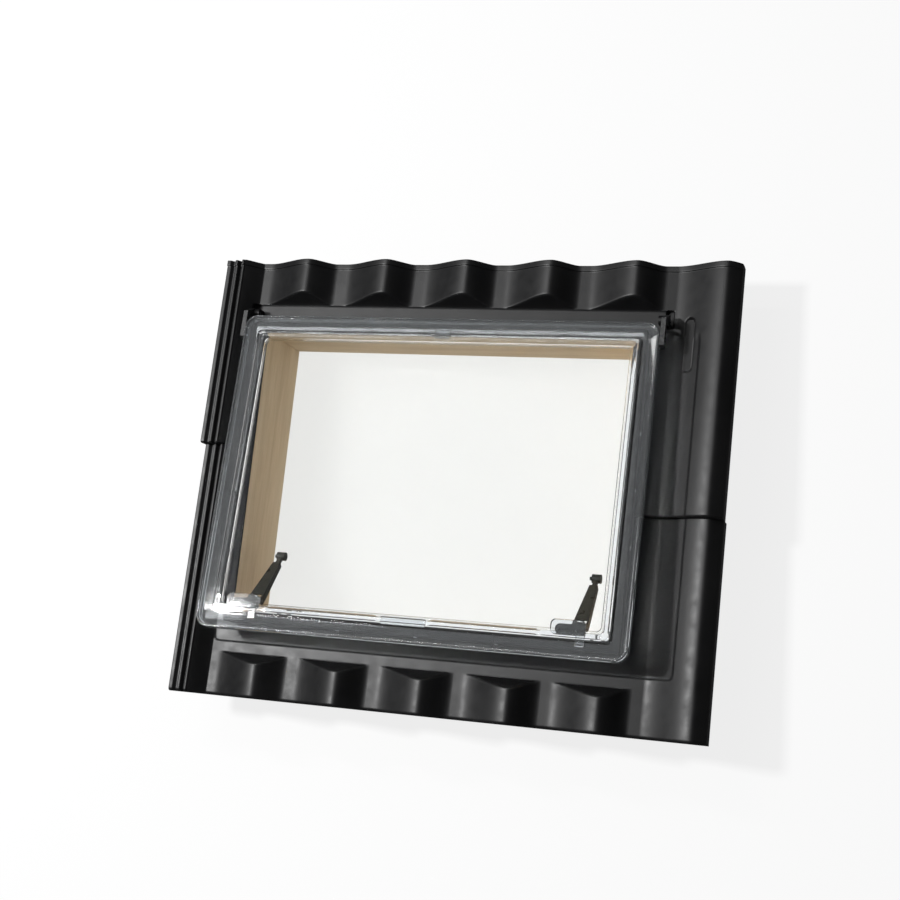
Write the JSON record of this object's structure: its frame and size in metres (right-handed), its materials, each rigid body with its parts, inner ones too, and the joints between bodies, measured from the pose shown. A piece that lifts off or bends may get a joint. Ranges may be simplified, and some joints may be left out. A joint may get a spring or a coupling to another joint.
{
  "type": "roof skylight",
  "caption": "Hinged skylight for a tiled roof: a moulded tile-profile pan with an upstand, a timber lining box and a clear lid that is held ajar by stays.",
  "frame": {"origin": "middle of the pan in plan, at the level of the lining's lower edge", "axes": "+X across the roof to the right, +Y up the slope, +Z out of the roof"},
  "size_m": [0.94, 0.784, 0.2021],
  "materials": {
    "pan_plastic": "satin black moulded plastic",
    "black_plastic": "dark moulded plastic with a slight sheen",
    "seal_rubber": "soft black foam rubber",
    "plywood": "bare pale plywood",
    "clear_plastic": "clear moulded plastic",
    "steel": "bright zinc plated steel"
  },
  "bodies": {
    "frame": {"tile_pan": "pan_plastic", "lining_front": "plywood", "lining_rear": "plywood", "lining_left": "plywood", "lining_right": "plywood", "lining_screws": "steel", "upstand_screws": "steel", "hinge_block_left": "black_plastic", "hinge_block_right": "black_plastic", "hinge_pin_left": "steel", "hinge_pin_right": "steel", "keeper_left": "black_plastic", "keeper_right": "black_plastic", "keeper_screws": "steel"},
    "lid": {"lid_shell": "clear_plastic", "inner_pane": "clear_plastic", "lid_seal": "seal_rubber", "hinge_strap_left": "black_plastic", "hinge_strap_right": "black_plastic", "hinge_screws": "steel", "stay_bracket_left": "black_plastic", "stay_bracket_right": "black_plastic", "bracket_screws": "steel", "stay_pin_left": "steel", "stay_pin_right": "steel"},
    "stay_left": {"stay_arm_left": "black_plastic"},
    "stay_right": {"stay_arm_right": "black_plastic"}
  },
  "joints": [
    {"name": "lid_hinge", "type": "hinge", "parent": "frame", "child": "lid", "pos_m": [-0.026, 0.292, 0.12], "axis": [-1, 0, 0], "range_deg": [-4.9, 50]},
    {"name": "stay_left_pivot", "type": "hinge", "parent": "lid", "child": "stay_left", "pos_m": [-0.302, -0.22765, 0.17559], "axis": [1, 0, 0], "range_deg": [-51, 35]},
    {"name": "stay_right_pivot", "type": "hinge", "parent": "lid", "child": "stay_right", "pos_m": [0.265, -0.22765, 0.17559], "axis": [1, 0, 0], "range_deg": [-51, 35]}
  ]
}
